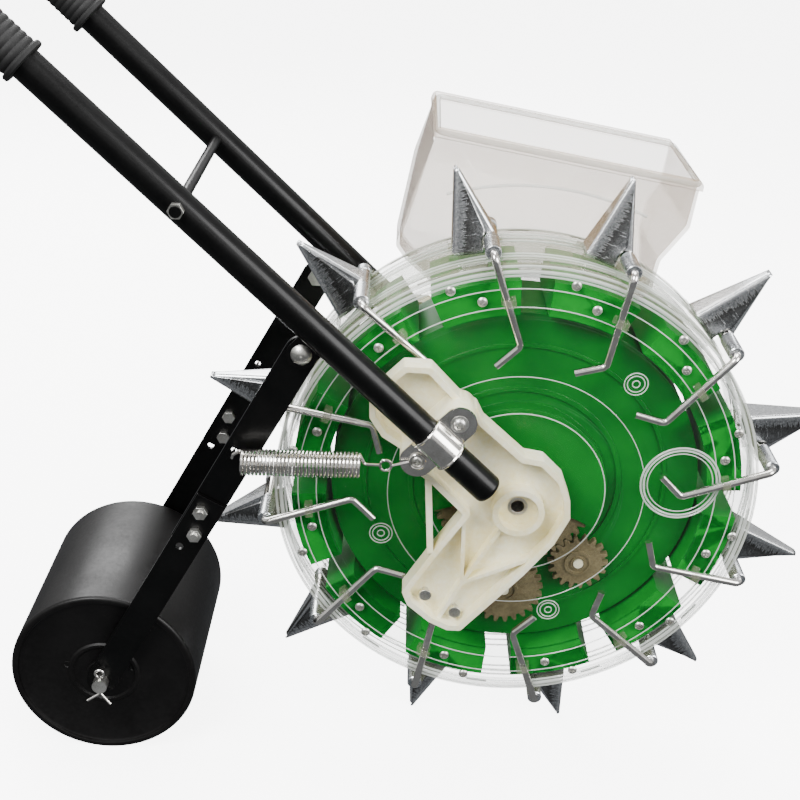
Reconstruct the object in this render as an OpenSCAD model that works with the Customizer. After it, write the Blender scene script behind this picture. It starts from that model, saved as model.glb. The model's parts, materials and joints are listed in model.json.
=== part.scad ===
// Hand-pushed rotary dibble seeder: a clear drum with sprung duckbill beaks, a press roller behind it,
// a seed hopper beside it and a pair of tube handles.
// Millimetres. Origin on the drum's axis at the middle of the beaks, +X forwards, +Y to the hopper side, +Z up.

/* [Drum] */
// Radius of the circle on which the beak hinges lie
hinge_r = 200; // [196:1:204]
// Outer radius of the clear rim
rim_r = 188; // [187:0.5:188]
// Width of the beaks at their base
beak_w = 30; // [26:1:32]
// Diameter of the lever wire
lever_d = 6; // [5:0.5:6]

/* [Frame] */
// Outer diameter of the handle tubes
tube_d = 23; // [20:0.5:23]
// Rise of the handle tubes above level, in degrees
tube_rise = 42; // [41:0.5:43]
// Length of a handle tube from its lower end
tube_len = 555; // [500:5:700]
// Distance of each handle tube from the middle of the frame
tube_y = 94; // [94:0.5:96]

/* [Press roller] */
// Radius of the press roller
roller_r = 75; // [70:1:80]
// Length of the press roller
roller_len = 156; // [140:1:156]
// Lean of the roller arm from upright, in degrees
arm_lean = 27.3; // [26:0.1:28]

/* [Hopper] */
// Forward tilt of the hopper, in degrees
hopper_tilt = 8; // [6:0.5:10]
// Thickness of the hopper's walls
hopper_wall = 2.5; // [2:0.5:3]

/* [Hidden] */
$fn = 48;

stations = 12;                       // beaks round the drum
first_hinge = 10.2;                  // angle of the first hinge above +X, so that two tips share the ground
middle_y = -2;                       // middle plane of the frame
tip_z = hinge_r + 54.3;              // height of a beak tip in its own station
tip_x = -20.4;                       // its offset from the hinge's radius
ground_z = -norm([tip_x, tip_z]) * cos(14.79);
wire_r = lever_d / 2;
lever_y = -52;                       // plane in which the levers lie
lever_bow = 5;                       // bend radius at the wire's middle line
lap = 0.3;                           // lap of a wire's straight into its bend
axle_r = 8;
axle_bore = 5.25;
running = 0.05;                      // radial clearance of a running fit

// Axial places, front to rear
cover_y = [-46, -43.5];
gear_y = [-38, -32];
housing_y = [-28, 43.5];
plate_y = [43.5, 46];
bracket_y = [-77, -60];
pad_y = -93;                         // front face of the tube pads
lug_y = [-87.5, -84];
upper_y = [-84, -80.5];
spring_y = -99;

port_at = [127, 18.6];                // filling port in the drum's cover
port_r = 28;
screw_at = [[178, 11], [164, 4]];    // cover screws in a station: radius and turn from its hinge
pad_at = [[-40, 120], [72, 120]];    // hopper screws, in the hopper's tilted view

// Gears: module 2.5
tooth_module = 2.5;
sun_teeth = 52;
stirrer_teeth = 18;
metering_teeth = 24;
sun_r = sun_teeth * tooth_module / 2;
stirrer_dir = -7 * 360 / sun_teeth;  // both spindles lie on a tooth of the drum gear
metering_dir = -13 * 360 / sun_teeth;
stirrer_at = (sun_r + stirrer_teeth * tooth_module / 2) * [cos(stirrer_dir), sin(stirrer_dir)];
metering_at = (sun_r + metering_teeth * tooth_module / 2) * [cos(metering_dir), sin(metering_dir)];

// Places in the side view, [x, z]
tube_foot = [-28, 31];
tube_dir = [-cos(tube_rise), sin(tube_rise)];
clamp_at = 52;                       // distance of the saddle clamp from the tube's foot
ear_out = 21.5;                      // distance of a clamp screw from the tube's axis
ear_high = tube_foot + clamp_at * tube_dir + ear_out * [sin(tube_rise), cos(tube_rise)];
ear_low = tube_foot + clamp_at * tube_dir - ear_out * [sin(tube_rise), cos(tube_rise)];
pivot = [-169, 126];
arm_dir = [-sin(arm_lean), -cos(arm_lean)];
arm_side = [-cos(arm_lean), sin(arm_lean)];
arm_len = (pivot[1] - ground_z - roller_r) / cos(arm_lean);
roller_at = pivot + arm_len * arm_dir;
rod_at = tube_foot + 303 * tube_dir;
opener_at = [[-66, -82.3], [-41.4, -97]];
bolt_at = [pivot + 152 * arm_dir + 3 * arm_side, pivot + 172 * arm_dir - 2 * arm_side];
hook_at = pivot + 95 * arm_dir + 5 * arm_side;
spring_span = [[-211, 43], [-123, 46]];

// Outline of the L-shaped bracket, counter-clockwise in the side view
bracket_pts = [
  [-36, -111], [9, -56], [30, -26], [40, -2], [38, 14], [31, 31], [15, 46], [0, 48],
  [-33, 76], [-39, 87], [-53, 95], [-75, 117], [-95, 117], [-119, 91], [-118, 74], [-108, 59],
  [-92, 49], [-82, 31], [-71, 24], [-42, -4], [-64, -40], [-85, -77], [-80, -89], [-62, -104], [-47, -111]];
rib_fork = [-38, -68];
rib_ends = [[-54, -103], [-41, -8], [-10, -14], [16, -42]];

// Hopper in its own tilted view: [u, v] outlines and the side profile [y, v]
hopper_front = [[-114, 247], [-122, 200], [-128, 150], [-118, 140], [-8, 72], [62, 72],
                [82, 100], [82, 180], [97, 211], [95, 247]];
hopper_side = [[49, 247], [49, 66], [88, 66], [96, 150], [178, 196], [182, 247]];

function side(p, q) = let (d = q - p) [-d[1], d[0]] / norm(d);
// Outline moved inwards by d: each corner goes along the sum of its two edge normals
function inset(pts, d) = [for (i = [0 : len(pts) - 1])
  let (n = len(pts), a = pts[(i + n - 1) % n], b = pts[i], c = pts[(i + 1) % n],
       m = side(a, b), k = side(b, c)) b + d * (m + k) / (1 + m * k)];
// Outline with each corner swapped for an arc of radius r
function rounded(pts, r) = [for (i = [0 : len(pts) - 1])
  let (n = len(pts), b = pts[i],
       u = (pts[(i + n - 1) % n] - b) / norm(pts[(i + n - 1) % n] - b),
       w = (pts[(i + 1) % n] - b) / norm(pts[(i + 1) % n] - b),
       half = acos(max(-1, min(1, u * w))) / 2, mid = (u + w) / norm(u + w),
       c = b + mid * r / sin(half), turn = u[0] * w[1] - u[1] * w[0] > 0 ? 1 : -1,
       from = atan2((b - c)[1], (b - c)[0]))
  for (s = [-1 : 0.5 : 1]) c + r * [cos(from - turn * s * (90 - half)), sin(from - turn * s * (90 - half))]];
// Gear outline, its first tooth at angle a0
function gear_pts(teeth, a0) = let (r = teeth * tooth_module / 2, q = 90 / teeth)
  [for (i = [0 : teeth - 1]) for (p = [[-1.3, -2.9], [-0.9, 0], [-0.45, 2.2], [0.45, 2.2], [0.9, 0], [1.3, -2.9]])
    (r + p[1]) * [cos(a0 + i * 360 / teeth + p[0] * q), sin(a0 + i * 360 / teeth + p[0] * q)]];

// Side-view outline extruded across the machine
module slab(y0, y1) translate([0, y1, 0]) rotate([90, 0, 0]) linear_extrude(y1 - y0) children();
// Outline in [y, z] extruded along x
module along_x(x0, x1) translate([x0, 0, 0]) rotate([90, 0, 90]) linear_extrude(x1 - x0) children();
module rod(p, y0, y1, r) translate([p[0], y1, p[1]]) rotate([90, 0, 0]) cylinder(h = y1 - y0, r = r);
module ring(y0, y1, r0, r1) difference() {
  rod([0, 0], y0, y1, r1);
  rod([0, 0], y0 - 1, y1 + 1, r0);
}
module wire(p, q, r) let (d = q - p) translate(p)
  rotate([0, acos(d[2] / norm(d)), atan2(d[1], d[0])]) cylinder(h = norm(d), r = r, $fn = 24);
// Round wire through points, each corner bent to radius bend at its middle line; the straights lap into the bends
module bent_wire(pts, r, bend) {
  n = len(pts);
  dirs = [for (i = [0 : n - 2]) (pts[i + 1] - pts[i]) / norm(pts[i + 1] - pts[i])];
  cut = [for (i = [0 : n - 1]) i == 0 || i == n - 1 ? 0 : bend * tan(acos(dirs[i - 1] * dirs[i]) / 2)];
  for (i = [0 : n - 2]) wire(pts[i] + (cut[i] - (i > 0 ? lap : 0)) * dirs[i],
                             pts[i + 1] - (cut[i + 1] - (i < n - 2 ? lap : 0)) * dirs[i], r);
  for (i = [1 : n - 2]) let (u = dirs[i - 1], w = dirs[i], e = w - (u * w) * u, m = e / norm(e),
       c = pts[i] - cut[i] * u + bend * m, a = cross(u, m))
    multmatrix([[-m[0], u[0], a[0], c[0]], [-m[1], u[1], a[1], c[1]], [-m[2], u[2], a[2], c[2]]])
      rotate_extrude(angle = acos(u * w)) translate([bend, 0]) circle(r = r + lap / 2, $fn = 24);
}
module nut(p, y0, y1, flats, bore) difference() {
  translate([p[0], y1, p[1]]) rotate([90, 0, 0]) cylinder(h = y1 - y0, d = flats / cos(30), $fn = 6);
  rod(p, y0 - 1, y1 + 1, bore);
}
// A station's parts are drawn at the top of the drum and turned to station k
module station(k) rotate([0, 90 - first_hinge - 30 * k, 0]) children();
module all_stations() for (k = [0 : stations - 1]) station(k) children();
module rear_side() translate([0, 2 * middle_y, 0]) mirror([0, 1, 0]) children();
module strip(p, q, w) let (d = (q - p) / norm(q - p), n = [-d[1], d[0]] * w / 2)
  polygon([p - n, q - n, q + n, p + n]);

// ---- fixed frame ----
module axle() color("silver") difference() {
  rod([0, 0], -66, 62, axle_r);
  rod([0, 0], -67, 63, axle_bore);
}

module axle_spacers() color("silver") {
  ring(-60, -58, axle_r, 13);
  ring(plate_y[1], 56, axle_r, 13);
}

module bracket() {
  difference() {
    union() {
      slab(-64, bracket_y[1]) polygon(rounded(bracket_pts, 3));
      slab(bracket_y[0], -64) difference() {
        polygon(rounded(bracket_pts, 3));
        polygon(rounded(inset(bracket_pts, 4.5), 2));
      }
      rod([0, 0], bracket_y[0], -62, 20);
      slab(-73, -62) for (i = [0 : 3]) strip(rib_fork, rib_ends[i], 3);
      slab(bracket_y[0], -66) strip([-71, 25], [-65, -40], 5);
      for (p = [ear_high, ear_low]) rod(p, pad_y, -62, 13);
      slab(pad_y, -62) strip(ear_high, ear_low, 26);
    }
    rod([0, 0], -90, -66, 15.5);
    rod([0, 0], -70, -50, axle_r);
    for (p = opener_at) {
      rod(p, -80, -50, 3);
      rod(p, -90, -70, 5.5);
    }
    tube_solid(0, 0);
    for (p = [ear_high, ear_low]) rod(p, -95, -75, 2);
  }
}
module front_bracket() color("ivory") bracket();
module rear_bracket() color("ivory") rear_side() bracket();

module tube_solid(inside, extra) translate([tube_foot[0], middle_y - tube_y, tube_foot[1]])
  rotate([0, tube_rise - 90, 0]) translate([0, 0, -extra])
    cylinder(h = tube_len + 2 * extra, r = tube_d / 2 - inside);
module handle_tube() difference() {
  union() {
    tube_solid(0, 0);
    slab(lug_y[0], lug_y[1]) union() {
      translate(pivot) circle(r = 11);
      strip(pivot, pivot + 20 * [sin(tube_rise), cos(tube_rise)], 22);
    }
  }
  tube_solid(2, 1);
  rod(pivot, -95, -80, 4);
  rod(rod_at, -115, -75, 4);
}
module front_handle_tube() color("black") handle_tube();
module rear_handle_tube() color("black") rear_side() handle_tube();

module grip() translate([tube_foot[0], middle_y - tube_y, tube_foot[1]]) rotate([0, tube_rise - 90, 0])
  difference() {
    union() {
      translate([0, 0, tube_len - 121]) cylinder(h = 126, r = 15);
      translate([0, 0, tube_len + 1]) cylinder(h = 7, r = 13);
      translate([0, 0, tube_len - 121]) cylinder(h = 4, r = 17);
    }
    translate([0, 0, tube_len - 130]) cylinder(h = 130, r = tube_d / 2);
  }
module front_grip() color("dimgray") grip();
module rear_grip() color("dimgray") rear_side() grip();

module cross_rod() color("black") rod(rod_at, -113, 109, 4);
module cross_rod_nuts() color("silver") {
  nut(rod_at, -112, -107.5, 10, 4);
  rear_side() nut(rod_at, -112, -107.5, 10, 4);
}

module clamp() difference() {
  union() {
    translate([tube_foot[0], middle_y - tube_y, tube_foot[1]]) rotate([0, tube_rise - 90, 0])
      translate([0, 0, clamp_at - 14]) cylinder(h = 28, r = tube_d / 2 + 1.5);
    for (p = [ear_high, ear_low]) rod(p, pad_y - 1.5, pad_y, 13);
    slab(pad_y - 1.5, pad_y) strip(ear_high, ear_low, 26);
  }
  tube_solid(0, 0);
  translate([-150, pad_y, -50]) cube([200, 50, 200]);
  for (p = [ear_high, ear_low]) rod(p, -100, -90, 2.2);
}
module tube_clamps() color("silver") {
  clamp();
  rear_side() clamp();
}

module clamp_screw(p) {
  rod(p, pad_y - 4, pad_y - 1.5, 4.2);
  rod(p, pad_y - 1.6, -76, 2);
}
module clamp_screws() color("silver") {
  for (p = [ear_high, ear_low]) {
    clamp_screw(p);
    rear_side() clamp_screw(p);
  }
}

module opener_bolts() color("silver") for (p = opener_at) {
  rod(p, -72.5, -48.6, 3);
  rod(p, -72.5, -70, 5);
  rod(p, -49, -48, 5.4);
}
module opener_roller(p) difference() {
  union() {
    rod(p, -57, -49.3, 5.2);
    rod(p, -59.5, -57, 14);
  }
  rod(p, -60, -48, 3 + running);
}
module opener_roller_1() color("silver") opener_roller(opener_at[0]);
module opener_roller_2() color("silver") opener_roller(opener_at[1]);

// Part of a ring from its profile of [radius, -y], turned from one angle above +X through another
module sector(from, angle, pts) rotate([90, 0, 0]) rotate([0, 0, from]) rotate_extrude(angle = angle, $fn = 96) polygon(pts);

// ---- seed store ----
module hopper_shape(t, up) intersection() {
  slab(40, 190) polygon(rounded(inset([for (p = hopper_front) [p[0], p[1] == 247 ? 247 + up : p[1]]], t), 5));
  along_x(-140, 110) polygon(rounded(inset([for (p = hopper_side) [p[0], p[1] == 247 ? 247 + up : p[1]]], t), 2));
}
module hopper() color("lightyellow", 0.4) rotate([0, hopper_tilt, 0]) difference() {
  union() {
    hopper_shape(0, 0);
    intersection() {
      hopper_shape(-2.5, 0);
      translate([-150, 0, 242]) cube([300, 200, 10]);
    }
    translate([-8, 46, 78]) cube([66, 4, 34]);
  }
  hopper_shape(hopper_wall, 30);
  translate([-5, 40, 81]) cube([60, 14, 28]);
  for (p = pad_at) rod(p, 40, 60, 2);
}
module hopper_screws() color("silver") rotate([0, hopper_tilt, 0]) for (p = pad_at) {
  rod(p, plate_y[1], 49, 6);
  rod(p, plate_y[0], 52, 2);
  rod(p, 49 + hopper_wall, 54, 4);
}

module seed_housing() color("green") difference() {
  union() {
    ring(housing_y[0], -25.5, axle_r, 146);
    ring(-28, housing_y[1], 143.5, 146);
    ring(-30, housing_y[1], axle_r, 14);
    ring(-29.5, -28, 81, 85);
    ring(-29.5, -28, 118, 121);
    sector(-25, 225, [[13.5, 39.5], [69.5, 39.5], [69.5, 27.5], [72, 27.5], [72, 41], [13.5, 41]]);
  }
  rod(stirrer_at, -35, -20, 4 + running);
  rod(metering_at, -35, -20, 4 + running);
  translate([-14, -12, -150]) cube([28, 28, 12]);
}
module rear_plate() color("honeydew", 0.5) difference() {
  ring(plate_y[0], plate_y[1], axle_r, 147);
  rotate([0, hopper_tilt, 0]) {
    translate([-5, 40, 81]) cube([60, 10, 28]);
    for (p = pad_at) rod(p, 40, 50, 2);
  }
}

// ---- drum ----
module drum_cover() color("white", 0.35) {
  difference() {
    union() {
      ring(cover_y[0], cover_y[1], 12, 183);
      ring(-47.5, cover_y[0], 82, 84);
      ring(-47.5, cover_y[0], 148, 150);
      translate([port_at[0], 0, port_at[1]]) ring(-47.4, cover_y[0], port_r, port_r + 3.2);
      for (p = [[81, 101], [37, -106], [-100, 62], [-104, -42]]) translate([p[0], 0, p[1]]) {
        ring(-47.5, cover_y[0], 7, 9);
        ring(-47.5, cover_y[0], 0.1, 3);
      }
    }
    rod(port_at, -50, -40, port_r);
    for (k = [0 : stations - 1]) station(k) for (s = screw_at) rotate([0, -s[1], 0]) rod([0, s[0]], -50, -40, 1.6);
  }
}
module port_cap() color("white", 0.35) union() {
  rod(port_at, -46.6, -43.5, port_r);
  rod(port_at, -47.2, -46.6, 9);
}

module seat() {
  translate([-33, -18, 176]) cube([42, 36, 14]);
  translate([-6, -46, 183.4]) cube([12, 30, 13.1]);
  translate([-6, 15.8, 182]) cube([12, 8.2, 14.5]);
}
module drum_rim() color("white", 0.35) difference() {
  union() {
    rotate([90, 0, 0]) rotate_extrude($fn = 96)
      polygon([[183, 46], [rim_r, 46], [rim_r, cover_y[1]], [149, cover_y[1]], [149, -41], [183, -41]]);
    for (y = [-45, -33, 36]) ring(y, y + 3, rim_r - 1, rim_r + 2);
    difference() {
      all_stations() seat();
      rod([0, 0], -50, 50, 177);
    }
  }
  all_stations() {
    translate([-26, -11, 175]) cube([24, 22, 30]);
    rod([0, hinge_r], -60, 40, 6);
  }
}

module compartment() difference() {
  sector(84, 22, [[150, 43.5], [177, 43.5], [177, -36], [150, -36]]);
  sector(85, 20, [[152.5, 41], [174.5, 41], [174.5, -37], [152.5, -37]]);
}
module compartment_ring() color("limegreen") difference() {
  all_stations() compartment();
  all_stations() translate([-24, -10, 160]) cube([20, 20, 20]);
}

module hub_bush() color("ivory") ring(-57.5, -31, axle_r + running, 12);
module drum_gear() color("tan") difference() {
  slab(gear_y[0], gear_y[1]) polygon(gear_pts(sun_teeth, 0));
  rod([0, 0], -40, -30, 12);
  for (i = [0 : 5]) rotate([0, 60 * i, 0]) rod([0, 36], -40, -30, 11);
}

module cover_screws() color("silver") all_stations() for (s = screw_at) rotate([0, -s[1], 0]) {
  rod([0, s[0]], -48.2, cover_y[0], 3.8);
  rod([0, s[0]], cover_y[0] - 0.5, cover_y[1], 1.6);
}

// Beak outline in [y, z]: the width runs down to the tip
module beak_width(inside) along_x(-60, 60)
  polygon([[-beak_w / 2 + inside, 185], [beak_w / 2 - inside, 185], [4.5 - inside, tip_z + 1], [inside - 4.5, tip_z + 1]]);
module fixed_jaw() difference() {
  intersection() {
    slab(-20, 20) polygon([[-30.5, 190], [-6.5, 190], [-6.5, hinge_r - 1], [-3.5, hinge_r + 7],
                           [tip_x, tip_z], [tip_x - 2, tip_z]]);
    beak_width(0);
  }
  intersection() {
    slab(-20, 20) polygon([[-29, 180], [20, 180], [20, tip_z - 1.5], [tip_x - 0.5, tip_z - 1.5]]);
    beak_width(1.3);
  }
}
module fixed_jaws() color("lightgray") all_stations() fixed_jaw();

module hinge_sleeves() color("silver") all_stations() difference() {
  union() {
    rod([0, hinge_r], -46.6, -15.6, 6);
    rod([0, hinge_r], 15.6, 24, 6);
  }
  rod([0, hinge_r], -55, 30, wire_r + running);
}
module lever_guides() color("white", 0.5) all_stations() {
  translate([2, -48.7, 160]) cube([11, 2.7, 6]);
  translate([10.6, -57, 160]) cube([2.4, 8.3, 6]);
  translate([3, -57, 160]) cube([7.6, 1.4, 6]);
}

module flap() {
  lever_bend = (hinge_r - 71.6) * [sin(6), cos(6)];
  lever_end = (hinge_r - 86.2) * [-sin(3), cos(3)];
  bent_wire([[0, 24, hinge_r], [0, lever_y, hinge_r], [lever_bend[0], lever_y, lever_bend[1]],
             [lever_end[0], lever_y, lever_end[1]]], wire_r, lever_bow);
  rod([0, hinge_r], -15, 15, 5.2);
  difference() {
    intersection() {
      slab(-20, 20) polygon([[4.9, hinge_r + 1], [-18.4, tip_z - 1.8], [-20, tip_z - 1.8],
                             [-19.4, tip_z - 22], [-2, hinge_r]]);
      beak_width(1.9);
    }
    intersection() {
      slab(-20, 20) polygon([[3.4, hinge_r - 5], [3.4, hinge_r + 1], [-19.9, tip_z - 1.8],
                             [-40, tip_z - 1.8], [-40, hinge_r - 5]]);
      beak_width(3.1);
    }
  }
}
module flap_01() color("lightgray") station(0) flap();
module flap_02() color("lightgray") station(1) flap();
module flap_03() color("lightgray") station(2) flap();
module flap_04() color("lightgray") station(3) flap();
module flap_05() color("lightgray") station(4) flap();
module flap_06() color("lightgray") station(5) flap();
module flap_07() color("lightgray") station(6) flap();
module flap_08() color("lightgray") station(7) flap();
module flap_09() color("lightgray") station(8) flap();
module flap_10() color("lightgray") station(9) flap();
module flap_11() color("lightgray") station(10) flap();
module flap_12() color("lightgray") station(11) flap();

// ---- gear train inside ----
module geared(teeth, at, dir) translate([at[0], 0, at[1]]) difference() {
  slab(gear_y[0], gear_y[1]) polygon(gear_pts(teeth, dir + 180 - 180 / teeth));
  rod([0, 0], -40, -30, 4);
}
module stirrer_pinion() color("tan") geared(stirrer_teeth, stirrer_at, stirrer_dir);
module metering_gear() color("tan") geared(metering_teeth, metering_at, metering_dir);
module stirrer_paddle() color("ivory") translate([stirrer_at[0], 0, stirrer_at[1]]) {
  rod([0, 0], -40, 20, 4);
  for (a = [0 : 90 : 270]) rotate([0, a, 0]) translate([-1.5, -22, 0]) cube([3, 40, 24]);
}
module metering_roller() color("ivory") translate([metering_at[0], 0, metering_at[1]]) difference() {
  union() {
    rod([0, 0], -40, 24, 4);
    rod([0, 0], -24, 20, 26);
  }
  for (a = [0 : 30 : 330]) rotate([0, a, 0]) translate([0, -2, 27]) rotate([90, 0, 0]) cylinder(h = 14, r = 5, center = true);
}

// ---- roller arm ----
module bar_outline(s0, s1, w) {
  strip(pivot + s0 * arm_dir, pivot + s1 * arm_dir, w);
}
module upper_bar() difference() {
  slab(upper_y[0], upper_y[1]) union() {
    bar_outline(0, 184, 25);
    translate(pivot) circle(r = 12.5);
  }
  rod(pivot, -90, -75, 4 + running);
  for (p = bolt_at) rod(p, -90, -75, 3);
  rod(hook_at, -90, -75, 2.5);
}
module lower_bar() difference() {
  slab(lug_y[0], lug_y[1]) union() {
    bar_outline(140, arm_len, 24);
    translate(roller_at) circle(r = 12);
  }
  for (p = bolt_at) rod(p, -90, -75, 3);
  rod(pivot + 188 * arm_dir + 3 * arm_side, -90, -75, 3);
  rod(roller_at, -90, -75, 6);
}
module front_upper_bar() color("black") upper_bar();
module rear_upper_bar() color("black") rear_side() upper_bar();
module front_lower_bar() color("black") lower_bar();
module rear_lower_bar() color("black") rear_side() lower_bar();

module arm_bolt(p) {
  rod(p, -93.5, -76.5, 3);
  nut(p, -92, lug_y[0], 10, 3);
  translate([p[0], -76.5, p[1]]) rotate([90, 0, 0]) cylinder(h = 4, d = 11.5, $fn = 6);
}
module arm_bolts() color("silver") for (p = bolt_at) {
  arm_bolt(p);
  rear_side() arm_bolt(p);
}
module pivot_bolt() {
  rod(pivot, lug_y[0] - 0.1, -76, 4);
  translate([pivot[0], lug_y[0], pivot[1]]) rotate([90, 0, 0]) intersection() {
    translate([0, 0, -6]) sphere(r = 10);
    cylinder(h = 5, r = 8);
  }
  nut(pivot, -80, -76, 13, 4);
}
module pivot_bolts() color("silver") {
  pivot_bolt();
  rear_side() pivot_bolt();
}

module roller_axle() color("silver") difference() {
  rod(roller_at, -96, 92, 6);
  for (y = [-93, 89]) translate([roller_at[0], y, roller_at[1]]) cylinder(h = 20, r = 1.6, center = true);
}
module cotter_pin() translate([roller_at[0], -93, roller_at[1]]) {
  wire([0, 0, 9], [0, 0, -9], 1.5);
  wire([0, 0, -8.5], [-9, -3, -13], 1.2);
  wire([0, 0, -8.5], [8, -3, -15], 1.2);
  translate([0, 0, 10.5]) rotate([90, 0, 0]) rotate_extrude() translate([3, 0]) circle(r = 1.2);
}
module cotter_pins() color("silver") {
  cotter_pin();
  rear_side() cotter_pin();
}

module roller_body() {
  y0 = middle_y - roller_len / 2;
  y1 = middle_y + roller_len / 2;
  translate([roller_at[0], 0, roller_at[1]]) difference() {
    rod([0, 0], y0, y1, roller_r);
    rod([0, 0], y0 - 1, y0 + 3, roller_r - 4);
    rod([0, 0], y1 - 3, y1 + 1, roller_r - 4);
    difference() {
      rod([0, 0], y0 + 6, y1 - 6, roller_r - 3);
      rod([0, 0], y0, y1, 14);
    }
    rod([0, 0], y0 - 1, y1 + 1, 11);
    for (x = [-30, 24]) rod([x, 6], y0 - 1, y0 + 10, 3);
  }
}
module press_roller() color("black") roller_body();
module roller_bushes() color("dimgray") translate([roller_at[0], 0, roller_at[1]])
  for (y = [middle_y - roller_len / 2 - 1, middle_y + roller_len / 2 - 21]) difference() {
    union() {
      rod([0, 0], y, y + 22, 11);
      rod([0, 0], y < 0 ? y : y + 18, y < 0 ? y + 4 : y + 22, 14);
    }
    rod([0, 0], y - 1, y + 23, 6 + running);
  }

// ---- springs ----
module spring() {
  a = [spring_span[0][0], spring_y, spring_span[0][1]];
  b = [spring_span[1][0], spring_y, spring_span[1][1]];
  difference() {
    wire(a, b, 10);
    wire(a - (b - a), b + (b - a), 8);
  }
  bent_wire([a + [1, 0, 9], [hook_at[0], spring_y, hook_at[1]], [hook_at[0], upper_y[1] + 3, hook_at[1]]], 1, 2.5);
}
module front_spring() color("silver") spring();
module rear_spring() color("silver") rear_side() spring();
module spring_link() {
  b = [spring_span[1][0], spring_y, spring_span[1][1]];
  e = [ear_low[0], pad_y - 3, ear_low[1]];
  wire(b + [1, 0, 0], [-108, spring_y, 47], 1);
  translate([-104, spring_y, 47]) rotate([90, 0, 0]) rotate_extrude() translate([4, 0]) circle(r = 1, $fn = 16);
  wire([-100, spring_y, 47], e + [-6.5, -1.5, 0], 1);
  translate(e + [0, -1.5, 0]) rotate([90, 0, 0]) rotate_extrude() translate([5.4, 0]) circle(r = 1, $fn = 16);
}
module spring_links() color("silver") {
  spring_link();
  rear_side() spring_link();
}

axle();
axle_spacers();
front_bracket();
rear_bracket();
front_handle_tube();
rear_handle_tube();
front_grip();
rear_grip();
cross_rod();
cross_rod_nuts();
tube_clamps();
clamp_screws();
opener_bolts();
opener_roller_1();
opener_roller_2();
hopper();
hopper_screws();
seed_housing();
rear_plate();
drum_cover();
drum_rim();
compartment_ring();
hub_bush();
drum_gear();
port_cap();
cover_screws();
fixed_jaws();
hinge_sleeves();
lever_guides();
flap_01();
flap_02();
flap_03();
flap_04();
flap_05();
flap_06();
flap_07();
flap_08();
flap_09();
flap_10();
flap_11();
flap_12();
stirrer_pinion();
stirrer_paddle();
metering_gear();
metering_roller();
front_upper_bar();
rear_upper_bar();
front_lower_bar();
rear_lower_bar();
arm_bolts();
pivot_bolts();
roller_axle();
cotter_pins();
press_roller();
roller_bushes();
front_spring();
rear_spring();
spring_links();
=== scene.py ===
import json
import math
import bmesh
import bpy
import numpy as np
from mathutils import Matrix, Vector

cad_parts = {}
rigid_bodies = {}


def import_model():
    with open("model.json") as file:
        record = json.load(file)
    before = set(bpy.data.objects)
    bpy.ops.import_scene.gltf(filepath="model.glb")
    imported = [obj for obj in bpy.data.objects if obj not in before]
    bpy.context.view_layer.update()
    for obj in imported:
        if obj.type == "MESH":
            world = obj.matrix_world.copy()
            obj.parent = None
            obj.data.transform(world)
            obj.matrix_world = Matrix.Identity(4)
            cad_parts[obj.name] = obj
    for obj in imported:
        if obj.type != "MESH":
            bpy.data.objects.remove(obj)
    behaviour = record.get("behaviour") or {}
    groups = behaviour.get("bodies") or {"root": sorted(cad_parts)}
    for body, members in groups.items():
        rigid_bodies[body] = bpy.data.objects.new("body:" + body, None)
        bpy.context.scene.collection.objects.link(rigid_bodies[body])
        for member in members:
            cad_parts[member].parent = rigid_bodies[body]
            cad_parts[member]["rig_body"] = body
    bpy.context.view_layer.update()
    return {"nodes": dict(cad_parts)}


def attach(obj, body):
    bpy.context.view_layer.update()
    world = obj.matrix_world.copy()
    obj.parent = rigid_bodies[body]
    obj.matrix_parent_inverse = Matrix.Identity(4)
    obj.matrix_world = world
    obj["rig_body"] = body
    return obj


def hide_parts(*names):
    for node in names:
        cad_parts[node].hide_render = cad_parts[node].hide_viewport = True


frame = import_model()
nodes = frame["nodes"]
print("seeder: frame loaded,", len(nodes), "CAD nodes")

# Lengths are worked out in millimetres, in the CAD frame, and turned to metres where a mesh is made.
# x runs forwards, y across to the hopper and z up, from the drum's axis.
drum = {"hingeRadius": 200.0, "firstHinge": 10.2, "stations": 12, "leverPlane": -52.0, "tipHeight": 254.3}
frameMiddle = -2.0  # the frame is mirrored about this y


def stationTurn(k):
    # 3 by 3 turn about y that takes the top of the drum to station k
    a = math.radians(90 - drum["firstHinge"] - 30 * k)
    return np.array([[math.cos(a), 0, math.sin(a)], [0, 1, 0], [-math.sin(a), 0, math.cos(a)]])


def mirrored(shape):
    # the same shape on the rear side; makePiece turns its faces out again
    v, f, uv = shape
    return v * [1, -1, 1] + [0, 2 * frameMiddle, 0], f, uv


# Shapes
def unit(v):
    # v over its own length
    return v / np.linalg.norm(v, axis=-1, keepdims=True)


def gridShape(points, around=True, capped=True, uv=None):
    # points[i, j] is row i along the piece and column j round it; each cell is a quad, and an open end is a fan of
    # triangles on its middle
    rows, cols = points.shape[:2]
    ids = np.arange(rows * cols).reshape(rows, cols)
    nxt = np.roll(ids, -1, axis=1) if around else ids[:, 1:]
    cur = ids if around else ids[:, :-1]
    quads = np.stack([cur[:-1], nxt[:-1], nxt[1:], cur[1:]], -1).reshape(-1, 4)
    fans = np.zeros((0, 3), int)
    verts = points.reshape(-1, 3)
    if capped and around:
        n = len(verts)
        verts = np.vstack([verts, points[0].mean(0), points[-1].mean(0)])
        fans = np.vstack([np.stack([nxt[0], cur[0], np.full(cols, n)], -1),
                          np.stack([cur[-1], nxt[-1], np.full(cols, n + 1)], -1)])
    if uv is None:
        uv = np.zeros((len(verts), 2))
    else:
        uv = np.vstack([uv.reshape(-1, 2), np.zeros((len(verts) - rows * cols, 2))])
    return verts, (quads, fans), uv


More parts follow.
